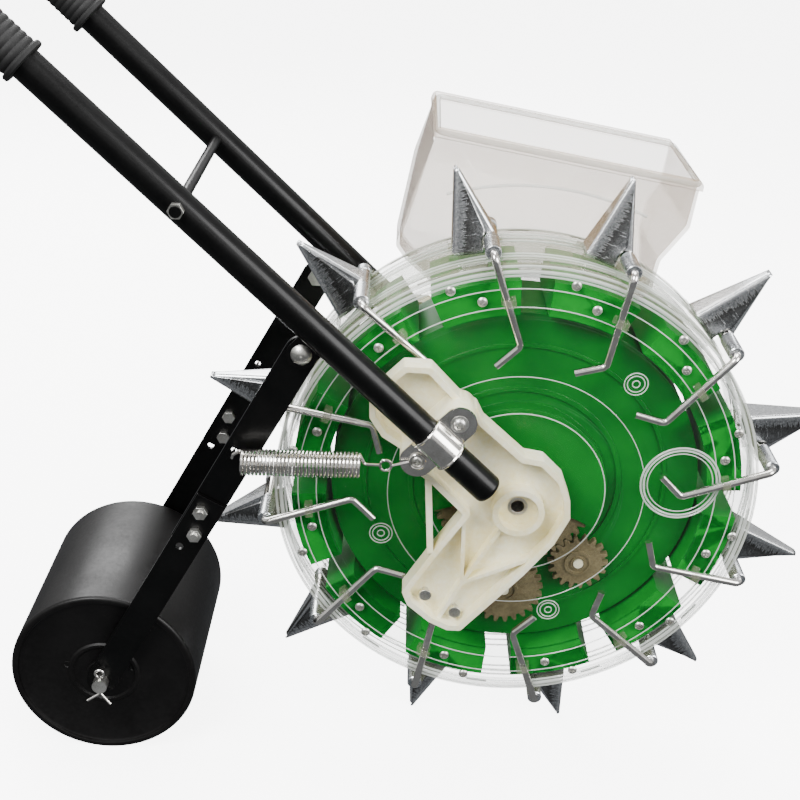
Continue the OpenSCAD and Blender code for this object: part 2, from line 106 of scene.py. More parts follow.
def lathe(profile, centre, axis, sides=48, closed=False):
    # profile (distance along the axis, radius) turned about an axis through centre; a closed profile is a ring
    p = np.asarray(profile, float)
    if closed:
        p = np.vstack([p, p[:1]])
    a = unit(np.asarray(axis, float))
    side = unit(np.cross(a, [0.3, 0.4, 0.86]))
    up = np.cross(a, side)
    t = np.linspace(0, 2 * math.pi, sides, endpoint=False)
    spoke = np.cos(t)[:, None] * side + np.sin(t)[:, None] * up
    grid = np.asarray(centre) + p[:, 0, None, None] * a + p[:, 1, None, None] * spoke
    return gridShape(grid, capped=not closed)


def sweep(path, radius, sides=14, closed=False):
    # a circle carried along a path; its frame is turned the least amount from each point to the next
    p = np.asarray(path, float)
    ahead = np.roll(p, -1, 0) - np.roll(p, 1, 0) if closed else np.gradient(p, axis=0)
    t = unit(ahead)
    n = np.zeros_like(p)
    n[0] = unit(np.cross(t[0], [0.31, 0.87, 0.38]))
    for i in range(1, len(p)):
        m = n[i - 1] - t[i] * np.dot(n[i - 1], t[i])
        n[i] = m / np.linalg.norm(m)
    b = np.cross(t, n)
    a = np.linspace(0, 2 * math.pi, sides, endpoint=False)
    r = np.broadcast_to(np.asarray(radius, float), len(p))[:, None, None]
    grid = p[:, None] + r * (np.cos(a)[None, :, None] * n[:, None] + np.sin(a)[None, :, None] * b[:, None])
    if closed:
        grid = np.concatenate([grid, grid[:1]])
    return gridShape(grid, capped=not closed)


def bentPath(corners, bend, steps=9):
    # straight runs joined by arcs of radius bend
    c = np.asarray(corners, float)
    path = [c[0]]
    for i in range(1, len(c) - 1):
        u, w = unit(c[i] - c[i - 1]), unit(c[i + 1] - c[i])
        turn = math.acos(float(np.clip(u @ w, -1, 1)))
        m = unit(w - (u @ w) * u)
        start = c[i] - bend * math.tan(turn / 2) * u
        s = np.linspace(0, turn, steps)[:, None]
        path.extend(start + bend * (np.sin(s) * u + (1 - np.cos(s)) * m))
    path.append(c[-1])
    return np.array(path)


def panHead(p, y, out, radius, height):
    # domed screw head on the y axis, facing out (+1 or -1), with a cross recess worked out on its polar grid
    r = np.concatenate([[0.02], np.linspace(0.08, 1, 15), [1.0]])[:, None]
    t = np.linspace(0, 2 * math.pi, 48, endpoint=False)[None, :]
    x, z = r * np.cos(t), r * np.sin(t)
    dome = height * (1 - 0.55 * r ** 4) * (r <= 1)
    arm = np.minimum(np.abs(x), np.abs(z)) < 0.13
    cross = arm & (np.maximum(np.abs(x), np.abs(z)) < 0.58)
    dome = dome - 0.62 * height * cross
    dome[-1] = 0.0
    grid = np.stack([p[0] + radius * x, y + out * dome, p[1] + radius * z], -1)
    return gridShape(grid)


def joinShapes(shapes):
    # several shapes as one; each one's faces count on from the vertices before it
    verts, faces, uvs = zip(*shapes)
    starts = np.cumsum([0] + [len(v) for v in verts[:-1]])
    quads = np.vstack([f[0] + start for f, start in zip(faces, starts)])
    fans = np.vstack([f[1] + start for f, start in zip(faces, starts)])
    return np.vstack(verts), (quads, fans), np.vstack(uvs)


def turned(shape, turn):
    # the shape carried round the drum by a 3 by 3 turn
    v, f, uv = shape
    return v @ turn.T, f, uv


def makePiece(name, shape, material, body, replaced=(), crease=35.0, solid=0.0, outward=True):
    # mesh from arrays; normals are set outwards before a wall gets its thickness
    v, f, uv = shape
    mesh = bpy.data.meshes.new(name)
    mesh.from_pydata((np.asarray(v) * 0.001).tolist(), [], f[0].tolist() + f[1].tolist())
    layer = mesh.uv_layers.new(name="sheet")
    loops = np.zeros(len(mesh.loops), np.int32)
    mesh.loops.foreach_get("vertex_index", loops)
    layer.data.foreach_set("uv", np.asarray(uv)[loops].ravel().astype(np.float32))
    bm = bmesh.new()
    bm.from_mesh(mesh)
    bmesh.ops.remove_doubles(bm, verts=bm.verts, dist=2e-6)
    if outward:
        bmesh.ops.recalc_face_normals(bm, faces=bm.faces)
    bm.to_mesh(mesh)
    bm.free()
    mesh.polygons.foreach_set("use_smooth", np.ones(len(mesh.polygons), bool))
    mesh.set_sharp_from_angle(angle=math.radians(crease))
    obj = bpy.data.objects.new(name, mesh)
    bpy.context.scene.collection.objects.link(obj)
    mesh.materials.append(material)
    if solid:
        wall = obj.modifiers.new("wall", "SOLIDIFY")
        wall.thickness = solid * 0.001
        wall.offset = -1
    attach(obj, body)
    if replaced:
        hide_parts(*replaced)
    return obj


def softEdged(node, material, width, segments=2, crease=30.0):
    # a merged copy of a CAD node with its flat faces rejoined and its edges broken by a bevel of width mm
    src = nodes[node]
    mesh = bpy.data.meshes.new(node + "Moulded")
    bm = bmesh.new()
    bm.from_mesh(src.data)
    bmesh.ops.remove_doubles(bm, verts=bm.verts, dist=1e-5)
    bmesh.ops.dissolve_limit(bm, angle_limit=math.radians(0.6), verts=bm.verts, edges=bm.edges)
    bm.to_mesh(mesh)
    bm.free()
    mesh.polygons.foreach_set("use_smooth", np.ones(len(mesh.polygons), bool))
    mesh.set_sharp_from_angle(angle=math.radians(crease))
    obj = bpy.data.objects.new(node + "Finished", mesh)
    bpy.context.scene.collection.objects.link(obj)
    mesh.materials.append(material)
    edge = obj.modifiers.new("edge", "BEVEL")
    edge.width = width * 0.001
    edge.segments = segments
    edge.limit_method = "ANGLE"
    edge.angle_limit = math.radians(40)
    edge.miter_outer = "MITER_ARC"
    edge.harden_normals = True
    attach(obj, src["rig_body"])
    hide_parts(node)
    return obj


# Materials
def linear(hexColour):
    # sRGB hex to linear red, green, blue and alpha
    c = np.array([int(hexColour[i:i + 2], 16) for i in (1, 3, 5)]) / 255
    return (*np.where(c <= 0.04045, c / 12.92, ((c + 0.055) / 1.055) ** 2.4).tolist(), 1.0)


def addNode(tree, kind, settings=None, links=None):
    # settings: attribute or input name to value; links: input name to another node's output
    node = tree.nodes.new(kind)
    for key, value in (settings or {}).items():
        if isinstance(key, str) and hasattr(node, key):
            setattr(node, key, value)
        else:
            node.inputs[key].default_value = value
    for key, output in (links or {}).items():
        tree.links.new(output, node.inputs[key])
    return node


def newMaterial(name):
    # an empty node material and its tree
    material = bpy.data.materials.new(name)
    material.use_nodes = True
    material.node_tree.nodes.clear()
    return material, material.node_tree


def ramp(tree, source, stops):
    # colour ramp over source, with stops of (place, hex colour)
    node = addNode(tree, "ShaderNodeValToRGB", links={"Fac": source})
    while len(node.color_ramp.elements) < len(stops):
        node.color_ramp.elements.new(0.5)
    for element, (place, colour) in zip(node.color_ramp.elements, stops):
        element.position = place
        element.color = linear(colour)
    return node.outputs["Color"]


def surface(name, shader, dark, light, grain, roughSpread, bump, bumpDepth):
    # grain is the pattern's size in mm; colour, roughness and bump come from one noise at that size
    material, tree = newMaterial(name)
    place = addNode(tree, "ShaderNodeTexCoord")
    noise = addNode(tree, "ShaderNodeTexNoise", {"Scale": 1000 / grain, "Detail": 4.0, "Roughness": 0.6},
                    {"Vector": place.outputs["Object"]})
    wide = addNode(tree, "ShaderNodeTexNoise", {"Scale": 1000 / (grain * 12), "Detail": 3.0},
                   {"Vector": place.outputs["Object"]})
    both = addNode(tree, "ShaderNodeMix", {"data_type": "FLOAT", 0: 0.55},
                   {2: noise.outputs["Fac"], 3: wide.outputs["Fac"]})
    colour = ramp(tree, both.outputs[0], [(0.36, dark), (0.64, light)])
    rough = addNode(tree, "ShaderNodeMapRange",
                    {"From Min": 0.35, "From Max": 0.65, "To Min": roughSpread[0], "To Max": roughSpread[1]},
                    {"Value": both.outputs[0]})
    relief = addNode(tree, "ShaderNodeBump", {"Strength": bump, "Distance": bumpDepth * 0.001},
                     {"Height": noise.outputs["Fac"]})
    bsdf = addNode(tree, "ShaderNodeBsdfPrincipled", shader,
                   {"Base Color": colour, "Roughness": rough.outputs["Result"], "Normal": relief.outputs["Normal"]})
    addNode(tree, "ShaderNodeOutputMaterial", links={"Surface": bsdf.outputs["BSDF"]})
    return material


# Electroplated zinc on pressed steel: pale blue-grey, half bright, with faint crystalline patches
zincPlate = surface("zincPlatedPressedSteel", {"Metallic": 1.0}, "#C6CACE", "#F0F2F4", 1.6, (0.2, 0.34), 0.12, 0.03)
# Bright drawn wire, nickel-plated: almost a mirror, fine lines left by the die
brightWire = surface("brightDrawnWire", {"Metallic": 1.0}, "#DDD9D2", "#FCFAF6", 0.9, (0.1, 0.18), 0.05, 0.01)
# Passivated zinc on turned screws and nuts: bright with a slightly warm bloom
screwZinc = surface("passivatedScrewZinc", {"Metallic": 1.0}, "#C4C3BC", "#F0EFEA", 1.2, (0.3, 0.42), 0.1, 0.02)
# Black stoved enamel on tube and bar: deep black, glossy, a little orange peel
blackEnamel = surface("blackStovedEnamel", {"Coat Weight": 0.15, "Coat Roughness": 0.15, "IOR": 1.45,
                      "Specular IOR Level": 0.22}, "#020202", "#050505", 2.2, (0.3, 0.42), 0.12, 0.04)
# Blow-moulded black polyethylene: waxy, faint flow marks and scuffs
rollerPlastic = surface("blowMouldedBlackPolyethylene", {"IOR": 1.45, "Specular IOR Level": 0.35},
                        "#060505", "#0C0B0B", 3.0, (0.34, 0.5), 0.2, 0.05)
# Natural nylon 6 moulding: ivory, slightly translucent, satin
ivoryNylon = surface("naturalNylonMoulding", {"IOR": 1.53, "Subsurface Weight": 0.25, "Subsurface Scale": 0.004,
                     "Subsurface Radius": (1.0, 0.85, 0.6)}, "#F4E9B8", "#FFFBE4", 4.0, (0.34, 0.46), 0.12, 0.05)
# Acetal gears dulled by old grease
greasedAcetal = surface("greasedAcetalMoulding", {"IOR": 1.48}, "#5C5138", "#827656", 2.4, (0.4, 0.6), 0.2, 0.06)
# Green ABS of the seed drum: saturated and glossy
greenPlastic = surface("greenAbsMoulding", {"IOR": 1.5, "Specular IOR Level": 0.3},
                       "#00741E", "#009028", 30.0, (0.26, 0.4), 0.06, 0.05)
deepGreenPlastic = surface("deepGreenAbsMoulding", {"IOR": 1.5, "Specular IOR Level": 0.25},
                           "#005C16", "#00741E", 45.0, (0.28, 0.42), 0.06, 0.05)
# Black nitrile grip: dull with a fine leathery grain
gripRubber = surface("mouldedNitrileRubber", {"IOR": 1.5}, "#030303", "#070707", 1.4, (0.6, 0.8), 0.4, 0.1)


def clearMaterial(name, tint, body, edge, rough, grain=60.0):
    # moulded polycarbonate: see-through face on, milky and reflecting at its edges
    material, tree = newMaterial(name)
    place = addNode(tree, "ShaderNodeTexCoord")
    flow = addNode(tree, "ShaderNodeTexNoise", {"Scale": 1000 / grain, "Detail": 3.0},
                   {"Vector": place.outputs["Object"]})
    relief = addNode(tree, "ShaderNodeBump", {"Strength": 0.12, "Distance": 0.0002}, {"Height": flow.outputs["Fac"]})
    facing = addNode(tree, "ShaderNodeLayerWeight", {"Blend": 0.35})
    share = addNode(tree, "ShaderNodeMapRange", {"From Min": 0.45, "From Max": 1.0, "To Min": body, "To Max": edge},
                    {"Value": facing.outputs["Facing"]})
    bsdf = addNode(tree, "ShaderNodeBsdfPrincipled",
                   {"Base Color": linear(tint), "Roughness": rough, "IOR": 1.58, "Coat Weight": 0.5,
                    "Coat Roughness": 0.04},
                   {"Normal": relief.outputs["Normal"], "Alpha": share.outputs["Result"]})
    addNode(tree, "ShaderNodeOutputMaterial", links={"Surface": bsdf.outputs["BSDF"]})
    return material


clearCover = clearMaterial("clearPolycarbonateCover", "#8FA898", 0.012, 0.5, 0.06)
clearRim = clearMaterial("clearPolycarbonateRim", "#9C9F86", 0.2, 0.8, 0.08, 25.0)
# near-white and more opaque than the other clear parts: the beads, ridges and rings are real mouldings, and their white
# is painted highlight
highlightBead = clearMaterial("paintedHighlightBead", "#F4F8F4", 0.42, 0.9, 0.06, 25.0)
clearHopper = clearMaterial("smokedPolycarbonateHopper", "#A08052", 0.33, 0.88, 0.07)
slotShade = clearMaterial("shadedRimSlot", "#2B2F28", 0.7, 0.9, 0.4)


def sheetZinc(name):
    # pressed zinc sheet, set by the piece's map: bright webs; the wings get a darker tone of the same zinc, which is
    # painted shade; beside the fold a comb of short rib marks whose near-black tone is painted shade in the rib
    # hollows, fading away from the fold
    material, tree = newMaterial(name)
    uv = addNode(tree, "ShaderNodeUVMap", {"uv_map": "sheet"})
    parts = addNode(tree, "ShaderNodeSeparateXYZ", links={"Vector": uv.outputs["UV"]})
    combs = addNode(tree, "ShaderNodeMapping", {"Scale": (0.09, 0.85, 1.0)}, {"Vector": uv.outputs["UV"]})
    comb = addNode(tree, "ShaderNodeTexNoise", {"Scale": 1.0, "Detail": 2.0, "Distortion": 0.4},
                   {"Vector": combs.outputs["Vector"]})
    place = addNode(tree, "ShaderNodeTexCoord")
    spangle = addNode(tree, "ShaderNodeTexNoise", {"Scale": 650.0, "Detail": 4.0},
                      {"Vector": place.outputs["Object"]})
    wing = addNode(tree, "ShaderNodeMapRange", {"From Min": 2.5, "From Max": 5.0}, {"Value": parts.outputs["X"]})
    fade = addNode(tree, "ShaderNodeMapRange", {"From Min": 10.0, "From Max": 24.0, "To Min": 0.85, "To Max": 0.3},
                   {"Value": parts.outputs["X"]})
    near = addNode(tree, "ShaderNodeMapRange", {"From Min": 5.0, "From Max": 13.0, "To Min": 0.36, "To Max": 0.66},
                   {"Value": parts.outputs["X"]})
    teeth = addNode(tree, "ShaderNodeMath", {"operation": "LESS_THAN"},
                    {0: comb.outputs["Fac"], 1: near.outputs["Result"]})
    mix = addNode(tree, "ShaderNodeMath", {"operation": "MULTIPLY"},
                  {0: wing.outputs["Result"], 1: teeth.outputs["Value"]})
    # painted shade: near-black rib marks on the wings beside the fold, fading away from it
    dark = addNode(tree, "ShaderNodeMath", {"operation": "MULTIPLY"},
                   {0: mix.outputs["Value"], 1: fade.outputs["Result"]})
    # one zinc finish in three tones: the web, the wing darkened as painted shade, and the rib marks near-black as
    # painted shade
    bright = ramp(tree, spangle.outputs["Fac"], [(0.35, "#D2D5D8"), (0.65, "#F6F7F8")])
    ribShade = ramp(tree, spangle.outputs["Fac"], [(0.35, "#33322F"), (0.65, "#5E5C58")])
    wingShade = ramp(tree, spangle.outputs["Fac"], [(0.35, "#A2A4A6"), (0.65, "#D2D4D6")])
    folded = addNode(tree, "ShaderNodeMix", {"data_type": "RGBA"},
                     {0: wing.outputs["Result"], 6: bright, 7: wingShade})
    colour = addNode(tree, "ShaderNodeMix", {"data_type": "RGBA"},
                     {0: dark.outputs["Value"], 6: folded.outputs[2], 7: ribShade})
    relief = addNode(tree, "ShaderNodeBump", {"Strength": 0.25, "Distance": 0.0004},
                     {"Height": dark.outputs["Value"]})
    bsdf = addNode(tree, "ShaderNodeBsdfPrincipled", {"Metallic": 1.0, "Roughness": 0.26},
                   {"Base Color": colour.outputs[2], "Normal": relief.outputs["Normal"]})
    addNode(tree, "ShaderNodeOutputMaterial", links={"Surface": bsdf.outputs["BSDF"]})
    return material


beakSheet = sheetZinc("zincSheetWithPaintedShade")
print("seeder: materials made")


def repaint(material, *names):
    # a CAD node keeps its mesh and takes a finish
    for name in names:
        data = nodes[name].data
        data.materials.clear()
        data.materials.append(material)
        data.polygons.foreach_set("use_smooth", np.ones(len(data.polygons), bool))
        data.set_sharp_from_angle(angle=math.radians(30))


# Nylon, bars and pressed parts
moulded = {
    "front_bracket": (ivoryNylon, 0.9, "ivory_nylon"), "rear_bracket": (ivoryNylon, 0.9, "ivory_nylon"),
    "tube_clamps": (brightWire, 0.3, "zinc_steel"), "axle": (screwZinc, 0.4, "zinc_steel"),
    "axle_spacers": (screwZinc, 0.4, "zinc_steel"), "opener_bolts": (screwZinc, 0.4, "zinc_steel"),
    "opener_roller_1": (brightWire, 0.4, "zinc_steel"), "opener_roller_2": (brightWire, 0.4, "zinc_steel"),
    "cross_rod_nuts": (screwZinc, 0.4, "zinc_steel"), "arm_bolts": (screwZinc, 0.45, "zinc_steel"),
    "pivot_bolts": (screwZinc, 0.4, "zinc_steel"), "roller_axle": (screwZinc, 0.5, "zinc_steel"),
    "front_upper_bar": (blackEnamel, 0.45, "black_paint"), "rear_upper_bar": (blackEnamel, 0.45, "black_paint"),
    "front_lower_bar": (blackEnamel, 0.45, "black_paint"), "rear_lower_bar": (blackEnamel, 0.45, "black_paint"),
    "drum_gear": (greasedAcetal, 0.35, "gear_plastic"), "stirrer_pinion": (greasedAcetal, 0.35, "gear_plastic"),
    "metering_gear": (greasedAcetal, 0.35, "gear_plastic"), "stirrer_paddle": (ivoryNylon, 0.4, "ivory_nylon"),
    "metering_roller": (ivoryNylon, 0.4, "ivory_nylon"), "hub_bush": (ivoryNylon, 0.4, "ivory_nylon"),
    "compartment_ring": (greenPlastic, 0.9, "green_plastic"), "seed_housing": (deepGreenPlastic, 0.6, "green_plastic"),
    "hopper": (clearHopper, 0.9, "clear_plastic"), "roller_bushes": (rollerPlastic, 0.6, "roller_plastic"),
    "lever_guides": (clearRim, 0.3, "clear_plastic"), "port_cap": (clearCover, 0.4, "clear_plastic"),
}
for node, (material, width, slot) in moulded.items():
    softEdged(node, material, width)
repaint(blackEnamel, "front_handle_tube", "rear_handle_tube", "cross_rod")
repaint(clearCover, "drum_cover", "rear_plate")
repaint(clearRim, "drum_rim")
repaint(screwZinc, "hopper_screws")
hopper = {"tilt": 8.0, "rim": [(-114, 49), (95, 49), (97, 180), (-112, 180)], "rimHeight": 246.0, "rimWire": 2.3,
          "ledgeRadius": 222.0, "ledge": (66.0, 108.0), "ledgeAt": 48.6, "ledgeWire": 1.2}
tilt = math.radians(hopper["tilt"])


def tilted(u, y, v):
    # a point of the hopper's upright view in the machine's frame
    x, z = u * math.cos(tilt) + v * math.sin(tilt), -u * math.sin(tilt) + v * math.cos(tilt)
    return np.stack([x, np.broadcast_to(y, np.shape(u)), z], -1)


def rimPath():
    # the four sides of the rim with rounded corners
    c = np.array(hopper["rim"], float)
    path = []
    for i in range(4):
        b, u, w = c[i], unit(c[i - 1] - c[i]), unit(c[(i + 1) % 4] - c[i])
        s = np.linspace(0, 1, 7)[:, None]
        path.append((b + 9 * u) * (1 - s) ** 2 + 2 * b * s * (1 - s) + (b + 9 * w) * s ** 2)
    p = np.vstack(path)
    return tilted(p[:, 0], p[:, 1], np.full(len(p), hopper["rimHeight"]))


ledgeTurn = np.radians(np.linspace(*hopper["ledge"], 60))
ledgePath = np.stack([hopper["ledgeRadius"] * np.cos(ledgeTurn), np.full(60, hopper["ledgeAt"]),
                      hopper["ledgeRadius"] * np.sin(ledgeTurn)], -1)
# the rim and ledge beads are white as painted highlight on the clear hopper
makePiece("hopperRimBead", joinShapes([sweep(rimPath(), hopper["rimWire"], 12, closed=True),
                                       sweep(ledgePath, hopper["ledgeWire"], 8)]), highlightBead, "frame")
print("seeder: moulded and pressed parts finished")

# Handle tubes and grips
handle = {"foot": (-28.0, 31.0), "rise": 42.0, "length": 555.0, "front": -96.0, "tubeRadius": 11.5,
          "gripRadius": 15.0, "gripStart": 434.0, "gripRings": 22}
tubeAxis = np.array([-math.cos(math.radians(handle["rise"])), 0, math.sin(math.radians(handle["rise"]))])
tubeFoot = np.array([handle["foot"][0], handle["front"], handle["foot"][1]])


def gripProfile():
    # flange at the lower end, shallow finger rings, a rounded cap at the top
    s = np.linspace(5, 112, handle["gripRings"] * 6)
    ring = handle["gripRadius"] - 0.7 + 0.7 * np.abs(np.sin(np.pi * (s - 5) / (107 / handle["gripRings"])))
    body = np.stack([s + handle["gripStart"], ring], -1)
    flange = [(0, 11.6), (0, 16.2), (0.8, 17.0), (3.2, 17.0), (4.2, 16.2), (4.6, 14.6)]
    cap = [(118, 14.9), (124, 14.8), (127, 13.9), (129, 11.8), (129.6, 8), (129.7, 3)]
    start = [handle["gripStart"], 0]
    return np.vstack([np.array(flange) + start, body, np.array(cap) + start])


gripShape = lathe(gripProfile(), tubeFoot, tubeAxis, 56)
makePiece("frontGripMoulded", gripShape, gripRubber, "frame", ["front_grip"])
makePiece("rearGripMoulded", mirrored(gripShape), gripRubber, "frame", ["rear_grip"])
# rounded plug in the open lower end of each tube
plugProfile = [(9, 9.4), (0.2, 9.4), (0.1, 11.3), (-1.2, 11.2), (-2.6, 10.2), (-3.6, 8.2), (-4.1, 5), (-4.2, 1.5)]
plugShape = lathe(plugProfile, tubeFoot, tubeAxis, 48)
makePiece("frontTubePlug", plugShape, blackEnamel, "frame")
makePiece("rearTubePlug", mirrored(plugShape), blackEnamel, "frame")


# Saddle clamps: rolled beads and screws
clamp = {"at": 52.0, "half": 13.0, "radius": 13.1, "bead": 0.9, "earOut": 21.5, "pad": -93.0}


def saddleBead(offset):
    # half circle round the tube on the outer side, at a distance along it
    a = np.radians(np.linspace(-83, 83, 24))[:, None]
    side = np.array([math.sin(math.radians(handle["rise"])), 0, math.cos(math.radians(handle["rise"]))])
    arc = clamp["radius"] * (np.sin(a) * side - np.cos(a) * np.array([0, 1, 0]))
    return sweep(tubeFoot + (clamp["at"] + offset) * tubeAxis + arc, clamp["bead"], 10)


beads = joinShapes([saddleBead(-clamp["half"]), saddleBead(clamp["half"])])
makePiece("saddleBeads", joinShapes([beads, mirrored(beads)]), brightWire, "frame")
rise = math.radians(handle["rise"])
clampMiddle = np.array(handle["foot"]) + clamp["at"] * np.array([-math.cos(rise), math.sin(rise)])
earOut = clamp["earOut"] * np.array([math.sin(rise), math.cos(rise)])
earAt = [clampMiddle - earOut, clampMiddle + earOut]
earScrews = joinShapes([panHead(at, clamp["pad"] - 1.5, -1, 4.4, 2.6) for at in earAt]
                       + [lathe([(0, 6.6), (0.6, 6.6), (0.6, 2.5)], (at[0], clamp["pad"] - 1.4, at[1]), (0, -1, 0), 36)
                          for at in earAt])
makePiece("clampScrewHeads", joinShapes([earScrews, mirrored(earScrews)]), screwZinc, "frame",
          ["clamp_screws"])
print("seeder: handles and clamps finished")


# Beaks and levers
beak = {"baseHalf": 15.0, "tipHalf": 4.5, "sheet": 1.2, "fold": 2.6, "flapGap": 1.9}


def halfWidth(z, inside):
    # half the beak's width, straight from its base to its tip
    t = (z - 185) / (drum["tipHeight"] + 1 - 185)
    return beak["baseHalf"] + (beak["tipHalf"] - beak["baseHalf"]) * t - inside


def channel(z, web, wing, inside):
    # U-shaped sheet: at each height z a wing at -y, a folded corner, the web, a corner and a wing at +y; the map
    # holds the distance from the fold along a wing and the height
    w = halfWidth(z, inside)[:, None]
    fold = np.minimum(beak["fold"], w * 0.7)
    sign = np.sign(wing - web)[:, None]
    s = np.linspace(1, 0, 12)[None, :]
    side = (web[:, None] + sign * fold) + s * ((wing - web)[:, None] - sign * fold)
    a = np.radians(np.linspace(8, 82, 7))[None, :]
    cornerX = web[:, None] + sign * fold * (1 - np.sin(a))
    cornerY = -(w - fold) - fold * np.cos(a)
    webY = np.linspace(-1, 1, 7)[None, 1:-1] * (w - fold)
    x = np.hstack([side, cornerX, np.repeat(web[:, None], 5, 1), cornerX[:, ::-1], side[:, ::-1]])
    y = np.hstack([np.repeat(-w, 12, 1), cornerY, webY, -cornerY[:, ::-1], np.repeat(w, 12, 1)])
    u = np.abs(x - web[:, None])
    grid = np.stack([x, y, np.repeat(z[:, None], x.shape[1], 1)], -1)
    uv = np.stack([u, np.repeat(z[:, None], x.shape[1], 1)], -1)
    return gridShape(grid, around=False, capped=False, uv=uv)


def lineAt(z, corners):
    # x of a polyline [(z, x), ...] at heights z
    c = np.array(corners)
    return np.interp(z, c[:, 0], c[:, 1])


jawHeights = np.concatenate([np.linspace(190, 207, 8), np.linspace(211, 254, 16)])
jaw = channel(jawHeights, lineAt(jawHeights, [(190, -30.5), (254.3, -22.4)]),
              lineAt(jawHeights, [(190, -6.6), (199, -6.6), (207, -3.6), (254.3, -20.4)]), 0.0)
flapHeights = np.concatenate([np.linspace(200.6, 232, 12), np.linspace(235, 252.4, 8)])
flap = channel(flapHeights, lineAt(flapHeights, [(200.5, 4.9), (252.5, -18.4)]),
               lineAt(flapHeights, [(200, -1.6), (232.3, -18.8), (252.5, -19.9)]), beak["flapGap"])
hingeAt, plane = drum["hingeRadius"], drum["leverPlane"]
leverCorners = [[0, 24, hingeAt], [0, plane, hingeAt], [13.42, plane, 127.7], [-5.96, plane, 113.64]]
leverPath = bentPath(leverCorners, 5.0, 10)
lever = sweep(leverPath, 3.0, 22)
barrelProfile = [(-15, 3.1), (-15, 4.6), (-14.4, 5.2), (14.4, 5.2), (15, 4.6), (15, 3.1)]
barrel = lathe(barrelProfile, (0, 0, hingeAt), (0, 1, 0), 32, closed=True)

stations = range(drum["stations"])
makePiece("fixedJawSheets", joinShapes([turned(jaw, stationTurn(k)) for k in stations]), beakSheet, "drum",
          ["fixed_jaws"], outward=False, solid=-beak["sheet"])
for k in stations:
    turn = stationTurn(k)
    body = "beak_%02d" % (k + 1)
    makePiece("flapSheet_%02d" % (k + 1), turned(flap, turn), beakSheet, body, ["flap_%02d" % (k + 1)],
              outward=False, solid=beak["sheet"])
    makePiece("leverWire_%02d" % (k + 1), joinShapes([turned(lever, turn), turned(barrel, turn)]), brightWire, body)


def stationRing(y0, y1, inner, outer, edge=0.6):
    # a sleeve from y0 to y1 round each station's hinge line, with its outer edges broken
    profile = [(y0, inner), (y0, outer - edge), (y0 + edge, outer), (y1 - edge, outer), (y1, outer - edge),
               (y1, inner)]
    ring = lathe(profile, (0, 0, drum["hingeRadius"]), (0, 1, 0), 36, closed=True)
    return [turned(ring, stationTurn(k)) for k in stations]


sleeve = {"spans": [(-46.6, -15.6), (15.6, 24.0)], "bore": 3.15, "radius": 6.0}
makePiece("sleeveTubes", joinShapes([ring for span in sleeve["spans"]
                                     for ring in stationRing(*span, sleeve["bore"], sleeve["radius"])]),
          zincPlate, "drum", ["hinge_sleeves"])
print("seeder: beaks and levers finished")

# Drum details
cover = {"front": -46.0, "screws": [(178.0, 11.0), (164.0, 4.0)],
         "ridges": [(70.0, 0.5), (101.0, 0.4), (157.0, 0.5), (171.5, 0.5), (181.5, 0.9)]}
screws = []
for k in stations:
    for radius, turn in cover["screws"]:
        a = math.radians(drum["firstHinge"] + 30 * k + turn)
        screws.append(panHead((radius * math.cos(a), radius * math.sin(a)), cover["front"], -1, 3.8, 2.2))
makePiece("coverScrewHeads", joinShapes(screws), screwZinc, "drum", ["cover_screws"])


def hoop(radius, y, wire, sides=8, around=160):
    # a wire ring about the drum's axis
    a = np.linspace(0, 2 * math.pi, around, endpoint=False)
    return sweep(np.stack([radius * np.cos(a), np.full(around, y), radius * np.sin(a)], -1), wire, sides, closed=True)


# the cover's ridges, the port and boss rings and the rim beads take the near-white painted highlight
ridges = [hoop(r, cover["front"], w) for r, w in cover["ridges"]]
makePiece("coverRidges", joinShapes(ridges), highlightBead, "drum")
port = {"at": (127.0, 18.6), "rings": [(28.5, -47.4, 0.8), (30.8, -47.4, 0.8), (25.5, -46.8, 0.5)]}
boss = {"at": [(81, 101), (37, -106), (-100, 62), (-104, -42)], "radii": [9.0, 6.6, 2.8], "y": -47.5, "wire": 0.45}


def smallHoop(at, radius, y, wire):
    # a wire ring on the cover about the point at
    a = np.linspace(0, 2 * math.pi, 72, endpoint=False)
    path = np.stack([at[0] + radius * np.cos(a), np.full(72, y), at[1] + radius * np.sin(a)], -1)
    return sweep(path, wire, 8, closed=True)


bossRings = [smallHoop(at, r, boss["y"], boss["wire"]) for at in boss["at"] for r in boss["radii"]]
makePiece("portRings", joinShapes([smallHoop(port["at"], *ring) for ring in port["rings"]] + bossRings), highlightBead,
          "drum")
rim = {"beads": [(188.2, y, 0.8) for y in (-28, -22, -16, 14, 22, 30, 44)],
       "lips": [(184.6, -46.3, 1.5), (188.6, -45.2, 1.1)],
       "slotRadius": 188.1, "slotStep": 7.5, "slotRows": (41.0, -38.0)}
rimBeads = [hoop(*bead) for bead in rim["beads"] + rim["lips"]]


def rimSlot(angle, y, span=2.6):
    # short flat dash that follows the rim, shaded like the slot between two moulded ribs
    a = np.radians(np.linspace(angle - span, angle + span, 9))[:, None]
    t = np.linspace(0, 2 * math.pi, 10, endpoint=False)[None, :]
    r = rim["slotRadius"] + 0.35 * np.sin(t)
    return gridShape(np.stack([r * np.cos(a), y + 1.5 * np.cos(t) + 0 * a, r * np.sin(a)], -1))


slots = joinShapes([rimSlot(rim["slotStep"] * k + 3, rim["slotRows"][k % 2]) for k in range(48) if k % 4 != 1])
makePiece("rimSlotShade", slots, slotShade, "drum")
makePiece("rimBeads", joinShapes(rimBeads), highlightBead, "drum")
gearHub = {"y": -38.0, "rings": [(11.5, 8.6), (6.4, 4.6)], "height": 1.3}


